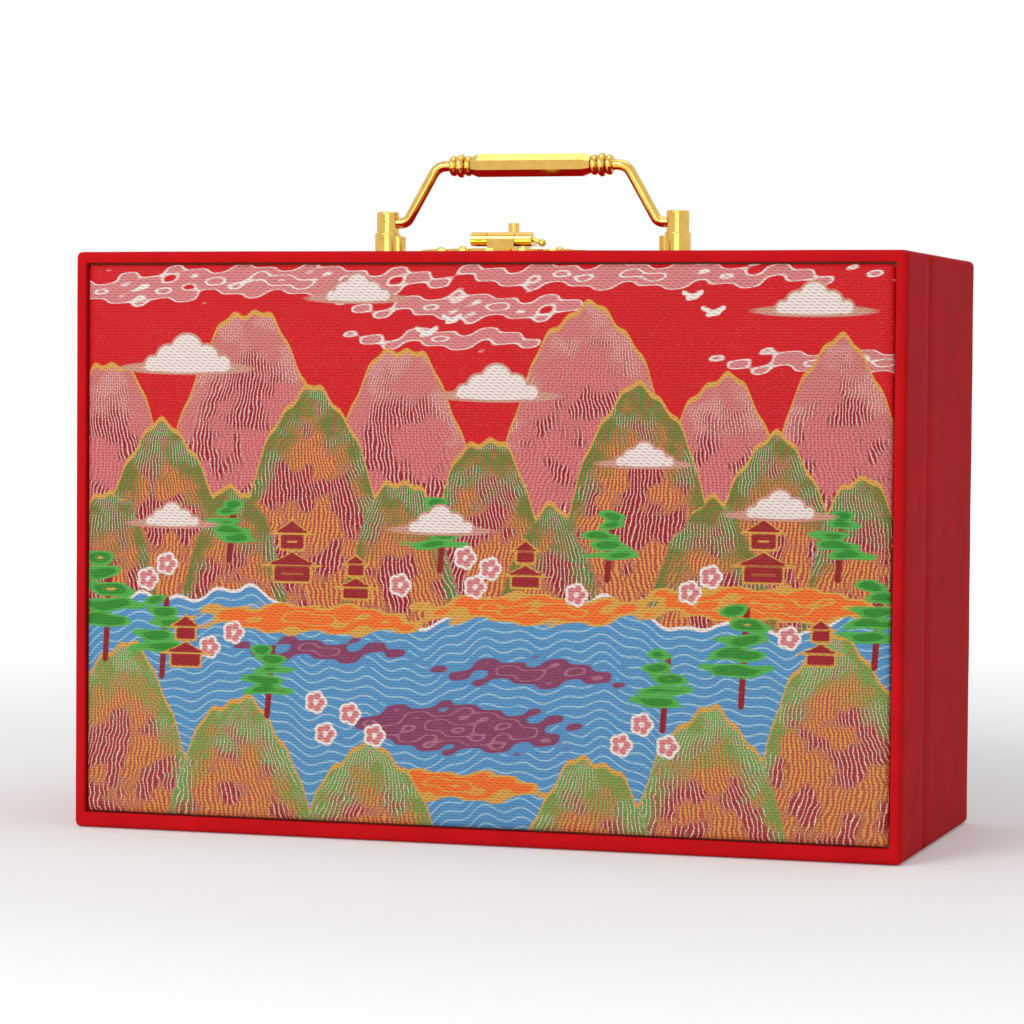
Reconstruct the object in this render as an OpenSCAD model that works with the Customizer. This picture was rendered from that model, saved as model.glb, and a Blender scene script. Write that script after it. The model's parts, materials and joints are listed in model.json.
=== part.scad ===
// Upright gift box: a velvet-covered lid and case hinged along the bottom of their seam,
// with a bail handle and a hasp latch on top and a padded brocade panel in the lid's front.
// Origin at the middle of the underside, X to the right, Y to the back, Z up.

/* [Box] */
// Width of the closed box
box_w = 330; // [260:1:420]
// Height of the box without its handle
box_h = 226; // [160:1:300]
// Depth of the lid in front of the seam
lid_d = 42; // [38:1:60]
// Depth of the case behind the seam
case_d = 97.7; // [84:0.1:140]
// Gap between lid and case at the seam
seam_gap = 0.3; // [0.2:0.1:0.5]

/* [Boards and cloth] */
// Thickness of the side and top boards
wall_t = 2.5; // [2:0.1:4]
// Thickness of the two base boards
base_t = 4; // [3.6:0.1:6]
// Thickness of the back board
back_t = 3; // [2:0.1:5]
// Thickness of the board behind the brocade
front_t = 3; // [2:0.1:5]
// Thickness of the velvet with its glue
cloth_t = 1; // [0.8:0.1:1.4]
// Radius of the covered outer edges
edge_r = 2.4; // [1.4:0.1:2.6]
// Thickness of the covered lining boards
lining_t = 2; // [1.9:0.1:3]
// Reach of the case's lining past the seam
lip_reach = 5; // [3:0.5:8]
// Gap between the lining's lip and the lid's walls
lip_gap = 0.3; // [0.2:0.1:0.6]
// Distance of the base panels from the box's edges
panel_inset = 6; // [5:0.5:10]

/* [Brocade panel] */
// Gap round the padded panel
pad_gap = 0.6; // [0.4:0.1:1.2]
// Thickness of the panel's backing board
pad_board_t = 2; // [1.5:0.1:3]
// Height of the pad's straight side
pad_side_t = 0.8; // [0.5:0.1:1.5]
// Height of the pad's rounded edge
pad_round_t = 2; // [1:0.1:3]
// Extra height of the crown in the middle
pad_crown_t = 0.4; // [0.2:0.1:0.8]
// Width of the pad's rounded edge
pad_round_w = 4; // [2:0.5:8]
// Radius of the pad's corners
pad_corner_r = 5; // [4:0.5:8]
// Depth of the pad's crown behind the front of the frame
pad_set = 0.3; // [0.2:0.1:1]

/* [Bottom hinges] */
// Length of each hinge
hinge_len = 40; // [25:1:60]
// Distance from the box's side to the hinge
hinge_inset = 45; // [20:1:60]
// Number of knuckles, an odd number
hinge_knuckles = 5; // [3:2:9]
// Radius of the hinge knuckles
knuckle_r = 1.5; // [1.3:0.1:1.7]
// Radius of the hinge pins
hinge_pin_r = 0.6; // [0.4:0.1:0.8]
// Height of the knuckles above the floor
hinge_rise = 0.2; // [0.1:0.1:0.4]
// Slope of the groove's faces below the hinge
groove_slope = 35; // [30:1:38]

/* [Handle posts] */
// Distance between the two posts
post_span = 120; // [110:1:150]
// Radius of a post's upper part
post_r = 4.5; // [4.2:0.1:6]
// Height of a post
post_h = 17.9; // [17:0.1:24]
// Radius of a post's foot
foot_r = 5.2; // [5:0.1:6]
// Height of a post's foot
foot_h = 9.3; // [8.5:0.1:10]
// Reach of the foot's lobe from the post's axis
lobe_reach = 7.5; // [7:0.1:8.5]
// Radius of the lobe
lobe_r = 3; // [2.5:0.1:3.5]
// Height of the lobe
lobe_h = 8; // [6:0.1:8.5]
// Radius of the rounding on top of a post
post_round = 0.8; // [0.4:0.1:1.2]
// Radius of the post screws
screw_r = 1.5; // [1:0.1:2]
// Length of the post screws inside the posts
screw_bite = 6; // [4:0.5:8]
// Radius of the screw heads
screw_head_r = 2.8; // [2.4:0.1:3.2]
// Radius of the washers
washer_r = 3.6; // [3.4:0.1:5]
// Thickness of the washers
washer_t = 0.5; // [0.3:0.1:0.6]

/* [Bail] */
// Radius of the bail's rod
rod_r = 2.1; // [1.6:0.1:2.3]
// Height of the bail's pivot above the box
pivot_h = 13.4; // [13:0.1:14]
// Height of the grip's axis above the box
grip_h = 36; // [32:0.5:50]
// Distance of the lower bends from the middle
leg_foot_x = 52; // [50:0.5:52]
// Distance of the upper bends from the middle
leg_top_x = 39; // [38.5:0.5:44]
// Radius of the lower bends
low_bend_r = 4; // [3:0.5:4.5]
// Radius of the upper bends
high_bend_r = 6; // [4:0.5:6.5]
// Length of the grip
grip_len = 49; // [40:1:50]
// Width of the grip across its flats
grip_flats = 9.1; // [7:0.1:9.6]
// Width of the grip's ends across their flats
grip_end_flats = 6.8; // [5.5:0.1:6.9]
// Length of the taper at each end of the grip
grip_taper = 2.9; // [1:0.1:5]
// Length of each ferrule
ferrule_len = 9.2; // [7:0.1:9.6]
// Radius of a ferrule's middle bead
bead_r = 4.7; // [4:0.1:4.8]
// Radius of a ferrule's outer beads
end_bead_r = 4.1; // [3.6:0.1:4.4]

/* [Latch] */
// Distance of the hasp's barrel in front of the seam
barrel_set = 10.4; // [9:0.1:12]
// Height of the barrel's axis above the box
barrel_h = 5.4; // [5.4:0.1:6]
// Radius of the barrel
barrel_r = 2.7; // [2.2:0.1:2.7]
// Length of the barrel
barrel_len = 24.4; // [22:0.2:32]
// Width of the fixed lug in the middle of the barrel
lug_w = 10.8; // [8:0.2:12]
// Radius of the hasp's pin
hasp_pin_r = 0.9; // [0.6:0.1:1.2]
// Radius of the ball on the pin's end
ball_r = 1.5; // [1.2:0.1:1.8]
// Reach of the ball past the barrel
ball_reach = 4.2; // [3.6:0.1:5]
// Droop of the pin's end
pin_droop = 20; // [10:1:25]
// Thickness of the two plates
plate_t = 1.2; // [1:0.1:1.4]
// Distance of the plates from the seam
plate_gap = 1; // [0.5:0.1:1.5]
// Thickness of the hasp's leaf
leaf_t = 1.2; // [1:0.1:1.4]
// Radius of the tongue at the leaf's end
tongue_r = 7; // [6:0.1:8]
// Distance of the turning knob behind the seam
knob_set = 4.7; // [4.7:0.1:5.4]
// Height of the knob above the box
knob_h = 12.2; // [11:0.1:12.4]
// Radius of the knob's head
knob_r = 2.15; // [1.9:0.05:2.3]
// Radius of the knob's collar
collar_r = 3.2; // [2.6:0.1:4]
// Radius of the knob's stem
stem_r = 1.2; // [0.9:0.05:1.25]
// Half length of the knob's foot
toe_reach = 3.6; // [3:0.1:3.6]
// Half width of the knob's foot
toe_half_w = 1.3; // [1.3:0.05:1.4]
// Thickness of the knob's foot
toe_t = 0.9; // [0.6:0.1:0.9]
// Radius of the keeper round the knob's foot
keeper_r = 6.5; // [5.5:0.1:7]
// Thickness of the keeper's roof
roof_t = 0.6; // [0.5:0.1:0.6]
// Radius of the rivet heads
rivet_r = 1.6; // [1.2:0.1:2]
// Radius of the rivet shanks
shank_r = 0.7; // [0.5:0.1:0.9]
// Length of the rivet shanks in the board
rivet_bite = 1.5; // [1:0.1:1.9]

/* [Hidden] */
$fn = 48;

VELVET = [0.62, 0.01, 0.03];
SATIN = [0.80, 0.62, 0.30];
BOARD = [0.66, 0.56, 0.42];
PANEL = [0.30, 0.03, 0.05];
GOLD = [0.86, 0.68, 0.30];
STEEL = [0.70, 0.70, 0.70];
BROCADE = [0.84, 0.10, 0.12];

eps = 0.01;
run_gap = 0.08;
part_gap = 0.2;

// Places along the depth
y_front = -(lid_d + seam_gap + case_d) / 2;
y_lid = y_front + lid_d;
y_seam = y_lid + seam_gap / 2;
y_case = y_lid + seam_gap;
y_back = -y_front;

// Faces of the boards and of the room inside them
board_x = box_w / 2 - cloth_t;
room_x = board_x - wall_t;
room_z0 = cloth_t + base_t;
room_z1 = box_h - cloth_t - wall_t;
recess_x = room_x - cloth_t;
recess_z0 = room_z0 + cloth_t;
recess_z1 = room_z1 - cloth_t;

// Layers behind the front of the frame
pad_t = pad_side_t + pad_round_t + pad_crown_t;
y_pad = y_front + pad_set + pad_t;
y_pad_board = y_pad + pad_board_t;
y_lid_front = y_pad_board + front_t;
y_case_back = y_back - cloth_t - back_t;
lip_end_gap = 0.5;
y_lip = y_case - lip_reach;

// Bottom hinges
hinge_z = knuckle_r + hinge_rise;
hinge_x = box_w / 2 - hinge_inset - hinge_len / 2;
knuckle_len = hinge_len / hinge_knuckles;
knuckle_gap = 0.2;
pocket_gap = 0.25;
leaf_top_gap = 0.3;
hinge_leaf_h = room_z0 - hinge_z - leaf_top_gap;
groove_reach = hinge_z / tan(groove_slope) + seam_gap / 2;

// Posts and bail
post_x = post_span / 2;
screw_gap = 0.05;
bore_depth = rod_r + 0.5;
set_hole_r = 0.6;
set_hole_depth = 1.2;
leg_angle = atan2(grip_h - pivot_h, leg_foot_x - leg_top_x);
low_tangent = low_bend_r * tan(leg_angle / 2);
high_tangent = high_bend_r * tan(leg_angle / 2);
bend_swell = 0.03;
bend_lap = 0.15;
washer_room = washer_r + 0.4;

// Latch
y_barrel = y_seam - barrel_set;
y_knob = y_seam + knob_set;
z_leaf = barrel_h - barrel_r + 0.1;
z_keeper = z_leaf - 0.3;
z_toe = z_keeper - roof_t - part_gap - toe_t;
z_cavity = z_toe - 0.4;
cavity_r = norm([toe_reach, toe_half_w]) + 0.1;
notch_half_w = toe_half_w + 0.25;
notch_reach = toe_reach + 0.7;
keeper_front = y_case + 0.15;
flutes = 12;
flute_r = 0.35;

// Lobes of the two plates: distance from the middle, distance from the seam, radius
LATCH_LOBES = [[0, 24.5, 8], [12, 21.5, 6], [22.5, 15, 7], [27, 7.5, 6.5]];
CATCH_LOBES = [[0, 15.5, 6.5], [10.5, 13, 5.5], [20, 8.5, 7]];
LATCH_RIVETS = [[-24, 13], [24, 13], [-12, 22.5], [12, 22.5]];
CATCH_RIVETS = [[-21, 8.5], [21, 8.5], [-10.5, 14], [10.5, 14]];
latch_body = [21, 20];
catch_body = [18, 12];

// Box with opposite corners a and b
module block(a, b) {
    translate(a) cube(b - a);
}

// Cylinder along X from x0 to x1, at the given depth and height
module rod_x(x0, x1, y, z, r) {
    translate([x0, y, z]) rotate([0, 90, 0]) cylinder(r = r, h = x1 - x0);
}

// Rectangle with four rounded corners
module round_rect(w, h, r) {
    square([w - 2 * r, h], center = true);
    square([w, h - 2 * r], center = true);
    for (x = [-1, 1], y = [-1, 1]) {
        translate([x * (w / 2 - r), y * (h / 2 - r)]) circle(r = r);
    }
}

// Rectangle along Y whose corners are rounded at its far end only
module round_end(w, y0, y1, r) {
    translate([0, (y0 + y1) / 2]) round_rect(w, y1 - y0, r);
    translate([-w / 2, y0]) square([w, (y1 - y0) / 2]);
}

// Solid outline of a covered half, from its seam towards its closed end
module covered_half(depth) {
    intersection() {
        translate([0, 0, box_h / 2]) rotate([-90, 0, 0]) linear_extrude(depth) round_rect(box_w, box_h, edge_r);
        linear_extrude(box_h) round_end(box_w, 0, depth, edge_r);
        translate([-box_w / 2, 0, box_h / 2]) rotate([0, 90, 0]) linear_extrude(box_w)
            round_end(box_h, 0, depth, edge_r);
    }
}

// Groove along the underside of the seam that lets the lid swing down
module hinge_groove() {
    translate([-box_w / 2 - 1, y_seam, 0]) rotate([90, 0, 90]) linear_extrude(box_w + 2)
        polygon([[0, hinge_z], [-groove_reach, -eps], [groove_reach, -eps]]);
}

// Room for the hinge barrels
module hinge_pockets() {
    for (s = [-1, 1]) {
        rod_x(s * hinge_x - hinge_len / 2 - part_gap, s * hinge_x + hinge_len / 2 + part_gap,
            y_seam, hinge_z, knuckle_r + pocket_gap);
    }
}

// Room for the two leaves of each hinge in the cloth at the seam
module leaf_pockets() {
    for (s = [-1, 1]) {
        block([s * hinge_x - hinge_len / 2, y_lid - cloth_t, hinge_z - knuckle_r],
            [s * hinge_x + hinge_len / 2, y_case + cloth_t, hinge_z + hinge_leaf_h]);
    }
}

// Holes for the screws of the posts
module post_holes() {
    for (s = [-1, 1]) {
        translate([s * post_x, 0, room_z1 - 1]) cylinder(r = screw_r + screw_gap, h = wall_t + cloth_t + 2);
    }
}

// Holes for the rivets of a plate: side is -1 towards the lid and 1 towards the case
module rivet_holes(places, edge, side) {
    for (p = places) {
        translate([p[0], edge + side * p[1], box_h - cloth_t - rivet_bite])
            cylinder(r = shank_r, h = rivet_bite + cloth_t + plate_t + 1);
    }
}

// Walls of the case and of the lid
module case_left() {
    color(BOARD) block([-board_x, y_case + cloth_t, cloth_t], [-room_x, y_back - cloth_t, box_h - cloth_t]);
}

module case_right() {
    color(BOARD) block([room_x, y_case + cloth_t, cloth_t], [board_x, y_back - cloth_t, box_h - cloth_t]);
}

module case_top() {
    color(BOARD) difference() {
        block([-room_x, y_case + cloth_t, room_z1], [room_x, y_back - cloth_t, box_h - cloth_t]);
        post_holes();
        rivet_holes(CATCH_RIVETS, y_case, 1);
    }
}

module case_base() {
    color(BOARD) difference() {
        block([-room_x, y_case + cloth_t, cloth_t], [room_x, y_back - cloth_t, room_z0]);
        hinge_groove();
        hinge_pockets();
    }
}

module case_back() {
    color(BOARD) block([-room_x, y_case_back, room_z0], [room_x, y_back - cloth_t, room_z1]);
}

module lid_left() {
    color(BOARD) block([-board_x, y_front + cloth_t, cloth_t], [-room_x, y_lid - cloth_t, box_h - cloth_t]);
}

module lid_right() {
    color(BOARD) block([room_x, y_front + cloth_t, cloth_t], [board_x, y_lid - cloth_t, box_h - cloth_t]);
}

module lid_top() {
    color(BOARD) difference() {
        block([-room_x, y_front + cloth_t, room_z1], [room_x, y_lid - cloth_t, box_h - cloth_t]);
        rivet_holes(LATCH_RIVETS, y_lid, -1);
    }
}

module lid_base() {
    color(BOARD) difference() {
        block([-room_x, y_front + cloth_t, cloth_t], [room_x, y_lid - cloth_t, room_z0]);
        hinge_groove();
        hinge_pockets();
    }
}

module lid_front() {
    color(BOARD) block([-room_x, y_pad_board, room_z0], [room_x, y_lid_front, room_z1]);
}

// Velvet over the case, turned in at the seam and open under the base panel
module case_velvet() {
    color(VELVET) difference() {
        translate([0, y_case, 0]) covered_half(y_back - y_case);
        block([-board_x, y_case + cloth_t, cloth_t], [board_x, y_back - cloth_t, box_h - cloth_t]);
        block([-room_x, y_case - 1, room_z0], [room_x, y_case + cloth_t + 1, room_z1]);
        case_panel_space(0);
        hinge_groove();
        hinge_pockets();
        leaf_pockets();
        post_holes();
        rivet_holes(CATCH_RIVETS, y_case, 1);
    }
}

// Velvet over the lid, turned in at the seam and into the recess of the front
module lid_velvet() {
    color(VELVET) difference() {
        translate([0, y_lid, 0]) mirror([0, 1, 0]) covered_half(y_lid - y_front);
        difference() {
            block([-board_x, y_front + cloth_t, cloth_t], [board_x, y_lid - cloth_t, box_h - cloth_t]);
            difference() {
                block([-room_x, y_front, room_z0], [room_x, y_pad_board, room_z1]);
                block([-recess_x, y_front - 1, recess_z0], [recess_x, y_pad_board + 1, recess_z1]);
            }
        }
        block([-recess_x, y_front - 1, recess_z0], [recess_x, y_pad_board + 1, recess_z1]);
        block([-room_x, y_lid - cloth_t - 1, room_z0], [room_x, y_lid + 1, room_z1]);
        lid_panel_space(0);
        hinge_groove();
        hinge_pockets();
        leaf_pockets();
        rivet_holes(LATCH_RIVETS, y_lid, -1);
    }
}

// Thin panels that cover the underside, and that the box stands on
module case_panel_space(gap) {
    block([-box_w / 2 + panel_inset + gap, y_case + panel_inset + gap, -eps * (gap == 0 ? 1 : 0)],
        [box_w / 2 - panel_inset - gap, y_back - panel_inset - gap, cloth_t]);
}

module lid_panel_space(gap) {
    block([-box_w / 2 + panel_inset + gap, y_front + panel_inset + gap, -eps * (gap == 0 ? 1 : 0)],
        [box_w / 2 - panel_inset - gap, y_lid - panel_inset - gap, cloth_t]);
}

module case_panel() {
    color(PANEL) case_panel_space(part_gap);
}

module lid_panel() {
    color(PANEL) lid_panel_space(part_gap);
}

// Lining of the case, whose walls reach past the seam as a lip
module lining_back() {
    color(SATIN) block([-room_x + lining_t, y_case_back - lining_t, room_z0 + lining_t],
        [room_x - lining_t, y_case_back, room_z1 - lining_t]);
}

module lining_left() {
    color(SATIN) union() {
        block([-room_x, y_case, room_z0], [-room_x + lining_t, y_case_back, room_z1]);
        block([-room_x + lip_gap, y_lip, room_z0 + lip_gap], [-room_x + lining_t, y_case + 1, room_z1 - lip_gap]);
    }
}

module lining_right() {
    mirror([1, 0, 0]) lining_left();
}

module lining_base() {
    x = room_x - lining_t;
    color(SATIN) union() {
        block([-x, y_case, room_z0], [x, y_case_back, room_z0 + lining_t]);
        block([-x, y_lip, room_z0 + lip_gap], [x, y_case + 1, room_z0 + lining_t]);
    }
}

module lining_top() {
    x = room_x - lining_t;
    color(SATIN) difference() {
        union() {
            block([-x, y_case, room_z1 - lining_t], [x, y_case_back, room_z1]);
            block([-x, y_lip, room_z1 - lining_t], [x, y_case + 1, room_z1 - lip_gap]);
        }
        for (s = [-1, 1]) {
            translate([s * post_x, 0, room_z1 - lining_t - 1]) cylinder(r = washer_room, h = lining_t + 2);
        }
    }
}

// Lining of the lid, which ends short of the lip
module lid_lining() {
    color(SATIN) block([-room_x + lining_t, y_lid_front, room_z0 + lining_t],
        [room_x - lining_t, y_lid_front + lining_t, room_z1 - lining_t]);
}

module lid_lining_left() {
    color(SATIN) block([-room_x, y_lid_front, room_z0], [-room_x + lining_t, y_lip - lip_end_gap, room_z1]);
}

module lid_lining_right() {
    mirror([1, 0, 0]) lid_lining_left();
}

module lid_lining_base() {
    x = room_x - lining_t;
    color(SATIN) block([-x, y_lid_front, room_z0], [x, y_lip - lip_end_gap, room_z0 + lining_t]);
}

module lid_lining_top() {
    x = room_x - lining_t;
    color(SATIN) block([-x, y_lid_front, room_z1 - lining_t], [x, y_lip - lip_end_gap, room_z1]);
}

// Brocade panel: a board and a pad of crowned, round-cornered layers
pad_x = recess_x - pad_gap;
pad_z0 = recess_z0 + pad_gap;
pad_z1 = recess_z1 - pad_gap;
corner_steps = 6;
round_steps = 5;
crown_steps = 4;
crown_w = 40;

// One closed line of the pad: its inset from the edge and its height above the board
function pad_line(inset, height) = [
    for (k = [0 : 3], i = [0 : corner_steps])
        let (a = 90 * k + 90 * i / corner_steps,
            r = max(pad_corner_r - inset, 0.5),
            cx = (k == 0 || k == 3 ? 1 : -1) * (pad_x - inset - r),
            cz = (k < 2 ? pad_z1 - inset - r : pad_z0 + inset + r))
        [cx + r * cos(a), y_pad - height, cz + r * sin(a)]
];

pad_lines = concat(
    [pad_line(0, 0)],
    [for (i = [0 : round_steps]) let (a = 90 * i / round_steps)
        pad_line(pad_round_w * (1 - cos(a)), pad_side_t + pad_round_t * sin(a))],
    [for (i = [1 : crown_steps]) let (t = i / crown_steps)
        pad_line(pad_round_w + crown_w * t, pad_side_t + pad_round_t + pad_crown_t * (1 - pow(1 - t, 2)))]
);

module brocade_pad() {
    n = 4 * (corner_steps + 1);
    last = len(pad_lines) - 1;
    color(BROCADE) polyhedron(
        points = [for (line = pad_lines, p = line) p],
        faces = concat(
            [[for (i = [0 : n - 1]) i]],
            [for (j = [0 : last - 1], i = [0 : n - 1]) let (k = (i + 1) % n)
                [j * n + k, j * n + i, (j + 1) * n + i]],
            [for (j = [0 : last - 1], i = [0 : n - 1]) let (k = (i + 1) % n)
                [j * n + k, (j + 1) * n + i, (j + 1) * n + k]],
            [[for (i = [n - 1 : -1 : 0]) last * n + i]]
        )
    );
}

module brocade_board() {
    color(BOARD) block([-pad_x, y_pad, pad_z0], [pad_x, y_pad_board, pad_z1]);
}

// Bottom hinges: side is -1 for the lid's leaf and 1 for the case's
module hinge_leaf(side, x) {
    own = side > 0 ? 0 : 1;
    bore_r = hinge_pin_r + (side > 0 ? 0 : run_gap);
    inner = side > 0 ? y_case : y_lid - cloth_t;
    translate([x - hinge_len / 2, 0, 0]) difference() {
        union() {
            difference() {
                block([0, inner, hinge_z], [hinge_len, inner + cloth_t, hinge_z + hinge_leaf_h]);
                for (k = [1 - own : 2 : hinge_knuckles - 1]) {
                    rod_x(k * knuckle_len - knuckle_gap / 2, (k + 1) * knuckle_len + knuckle_gap / 2,
                        y_seam, hinge_z, knuckle_r + pocket_gap);
                }
            }
            for (k = [own : 2 : hinge_knuckles - 1]) {
                rod_x(k * knuckle_len + knuckle_gap / 2, (k + 1) * knuckle_len - knuckle_gap / 2,
                    y_seam, hinge_z, knuckle_r);
            }
        }
        rod_x(-1, hinge_len + 1, y_seam, hinge_z, bore_r);
    }
}

module hinge_case_left() {
    color(GOLD) hinge_leaf(1, -hinge_x);
}

module hinge_case_right() {
    color(GOLD) hinge_leaf(1, hinge_x);
}

module hinge_lid_left() {
    color(GOLD) hinge_leaf(-1, -hinge_x);
}

module hinge_lid_right() {
    color(GOLD) hinge_leaf(-1, hinge_x);
}

module hinge_pin(x) {
    inset = knuckle_gap / 2;
    rod_x(x - hinge_len / 2 + inset, x + hinge_len / 2 - inset, y_seam, hinge_z, hinge_pin_r);
}

module hinge_pin_left() {
    color(STEEL) hinge_pin(-hinge_x);
}

module hinge_pin_right() {
    color(STEEL) hinge_pin(hinge_x);
}

// Round solid with a rounded top edge
module turned(r, h, f) {
    rotate_extrude() {
        square([r - f, h]);
        square([r, h - f]);
        translate([r - f, h - f]) circle(r = f);
    }
}

// Handle post: a lobed foot, a slimmer upper part and the bore that holds the bail's end
module post() {
    difference() {
        union() {
            turned(foot_r, foot_h, 0.4);
            turned(post_r, post_h, post_round);
            translate([lobe_reach - lobe_r, 0, 0]) turned(lobe_r, lobe_h, 0.4);
        }
        translate([0, 0, -1]) cylinder(r = screw_r, h = screw_bite + 1);
        translate([-bore_depth, 0, pivot_h]) rotate([0, 90, 0])
            cylinder(r = rod_r + run_gap, h = bore_depth + foot_r + 1);
        translate([0, -post_r + set_hole_depth, pivot_h]) rotate([90, 0, 0])
            cylinder(r = set_hole_r, h = set_hole_depth + 1);
    }
}

module post_left() {
    color(GOLD) translate([-post_x, 0, box_h]) post();
}

module post_right() {
    color(GOLD) translate([post_x, 0, box_h]) mirror([1, 0, 0]) post();
}

// Screw and washer under the case's top board
module post_screw(x) {
    head_t = lining_t - washer_t - 0.2;
    translate([x, 0, room_z1 - washer_t]) {
        cylinder(r = screw_r, h = washer_t + wall_t + cloth_t + screw_bite - 0.3);
        difference() {
            translate([0, 0, -head_t]) cylinder(r = screw_head_r, h = head_t);
            translate([-screw_head_r, -0.4, -head_t - 1]) cube([2 * screw_head_r, 0.8, 1.5]);
        }
    }
}

module post_screw_left() {
    color(STEEL) post_screw(-post_x);
}

module post_screw_right() {
    color(STEEL) post_screw(post_x);
}

module washer(x) {
    translate([x, 0, room_z1 - washer_t]) difference() {
        cylinder(r = washer_r, h = washer_t);
        translate([0, 0, -1]) cylinder(r = screw_r + screw_gap, h = washer_t + 2);
    }
}

module washer_left() {
    color(STEEL) washer(-post_x);
}

module washer_right() {
    color(STEEL) washer(post_x);
}

// Straight length of rod between two points of the bail's plane
module rod_between(p, q) {
    translate([p[0], 0, p[1]]) rotate([0, atan2(q[0] - p[0], q[1] - p[1]), 0]) cylinder(r = rod_r, h = norm(q - p));
}

// Bend of the rod round a centre of the bail's plane, a hair thicker than the straight rod
module rod_bend(centre, r, start, sweep) {
    translate([centre[0], 0, centre[1]]) rotate([90, 0, 0]) rotate([0, 0, start])
        rotate_extrude(angle = sweep) translate([r, 0]) circle(r = rod_r + bend_swell);
}

// One leg of the bail, from its end in the left post to the top of its upper bend
module bail_leg() {
    up = [cos(leg_angle), sin(leg_angle)];
    low = [-leg_foot_x, pivot_h];
    high = [-leg_top_x, grip_h];
    rod_between([-post_x - bore_depth + part_gap, pivot_h], [-leg_foot_x - low_tangent + bend_lap, pivot_h]);
    rod_bend([-leg_foot_x - low_tangent, pivot_h + low_bend_r], low_bend_r, -90, leg_angle);
    rod_between(low + (low_tangent - bend_lap) * up, high - (high_tangent - bend_lap) * up);
    rod_bend([-leg_top_x + high_tangent, grip_h - high_bend_r], high_bend_r, 90, leg_angle);
}

module bail_rod() {
    x = leg_top_x - high_tangent + bend_lap;
    color(GOLD) translate([0, 0, box_h]) {
        bail_leg();
        mirror([1, 0, 0]) bail_leg();
        rod_between([-x, grip_h], [x, grip_h]);
    }
}

// Eight-sided grip with tapered ends
module grip() {
    a = grip_len / 2;
    b = a - grip_taper;
    wide = grip_flats / 2;
    narrow = grip_end_flats / 2;
    color(GOLD) translate([0, 0, box_h + grip_h]) difference() {
        intersection_for (turn = [0 : 45 : 135]) {
            rotate([turn, 0, 0]) rotate([90, 0, 0]) translate([0, 0, -grip_flats]) linear_extrude(2 * grip_flats)
                polygon([[-a, -narrow], [-b, -wide], [b, -wide], [a, -narrow],
                    [a, narrow], [b, wide], [-b, wide], [-a, narrow]]);
        }
        rod_x(-a - 1, a + 1, 0, 0, rod_r);
    }
}

// Ferrule of three beads beside the grip
module ferrule() {
    bead = ferrule_len / 6;
    rotate([0, 90, 0]) rotate_extrude() difference() {
        union() {
            square([end_bead_r - bead, ferrule_len]);
            for (i = [0 : 2]) {
                r = i == 1 ? bead_r : end_bead_r;
                translate([r - bead, bead * (2 * i + 1)]) circle(r = bead);
            }
            translate([0, 2 * bead]) square([bead_r - bead, 2 * bead]);
        }
        translate([-bead_r, -1]) square([bead_r + rod_r, ferrule_len + 2]);
    }
}

module ferrule_right() {
    color(GOLD) translate([grip_len / 2, 0, box_h + grip_h]) ferrule();
}

module ferrule_left() {
    color(GOLD) translate([-grip_len / 2 - ferrule_len, 0, box_h + grip_h]) ferrule();
}

// Outline of a plate: lobes on both sides of a body, cut straight along the seam
module plate_outline(lobes, body) {
    translate([-body[0], plate_gap]) square([2 * body[0], body[1] - plate_gap]);
    intersection() {
        for (s = [-1, 1], lobe = lobes) {
            translate([s * lobe[0], lobe[1]]) circle(r = lobe[2]);
        }
        translate([-box_w / 2, plate_gap]) square(box_w);
    }
}

// Plate on the lid with the fixed lug of the barrel
module latch_plate() {
    color(GOLD) difference() {
        union() {
            translate([0, y_lid, box_h]) mirror([0, 1, 0]) linear_extrude(plate_t)
                plate_outline(LATCH_LOBES, latch_body);
            rod_x(-lug_w / 2, lug_w / 2, y_barrel, box_h + barrel_h, barrel_r);
            block([-lug_w / 2, y_barrel - barrel_r, box_h + plate_t - eps],
                [lug_w / 2, y_barrel + barrel_r, box_h + barrel_h]);
        }
        rod_x(-lug_w, lug_w, y_barrel, box_h + barrel_h, hasp_pin_r);
        rivet_holes(LATCH_RIVETS, y_lid, -1);
    }
}

// Plate on the case with the keeper, whose cavity the knob's foot turns in
module catch_plate() {
    color(GOLD) translate([0, 0, box_h]) difference() {
        union() {
            translate([0, y_case, 0]) linear_extrude(plate_t) plate_outline(CATCH_LOBES, catch_body);
            intersection() {
                translate([0, y_knob, 0]) cylinder(r = keeper_r, h = z_keeper);
                block([-keeper_r, keeper_front, 0], [keeper_r, y_knob + keeper_r, z_keeper]);
            }
        }
        translate([0, y_knob, z_cavity]) cylinder(r = cavity_r, h = z_keeper - roof_t - z_cavity);
        block([-notch_half_w, y_case - 1, z_cavity], [notch_half_w, y_knob + notch_reach, z_keeper + 1]);
        translate([0, 0, -box_h]) rivet_holes(CATCH_RIVETS, y_case, 1);
    }
}

module rivet(place, edge, side) {
    translate([place[0], edge + side * place[1], box_h - cloth_t - rivet_bite]) {
        cylinder(r = shank_r, h = rivet_bite + cloth_t + plate_t);
        translate([0, 0, rivet_bite + cloth_t + plate_t]) intersection() {
            translate([0, 0, -rivet_r * 0.5]) sphere(r = rivet_r * 1.25, $fn = 32);
            cylinder(r = rivet_r, h = rivet_r);
        }
    }
}

module latch_rivet(i) {
    color(GOLD) rivet(LATCH_RIVETS[i - 1], y_lid, -1);
}

module catch_rivet(i) {
    color(GOLD) rivet(CATCH_RIVETS[i - 1], y_case, 1);
}

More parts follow.
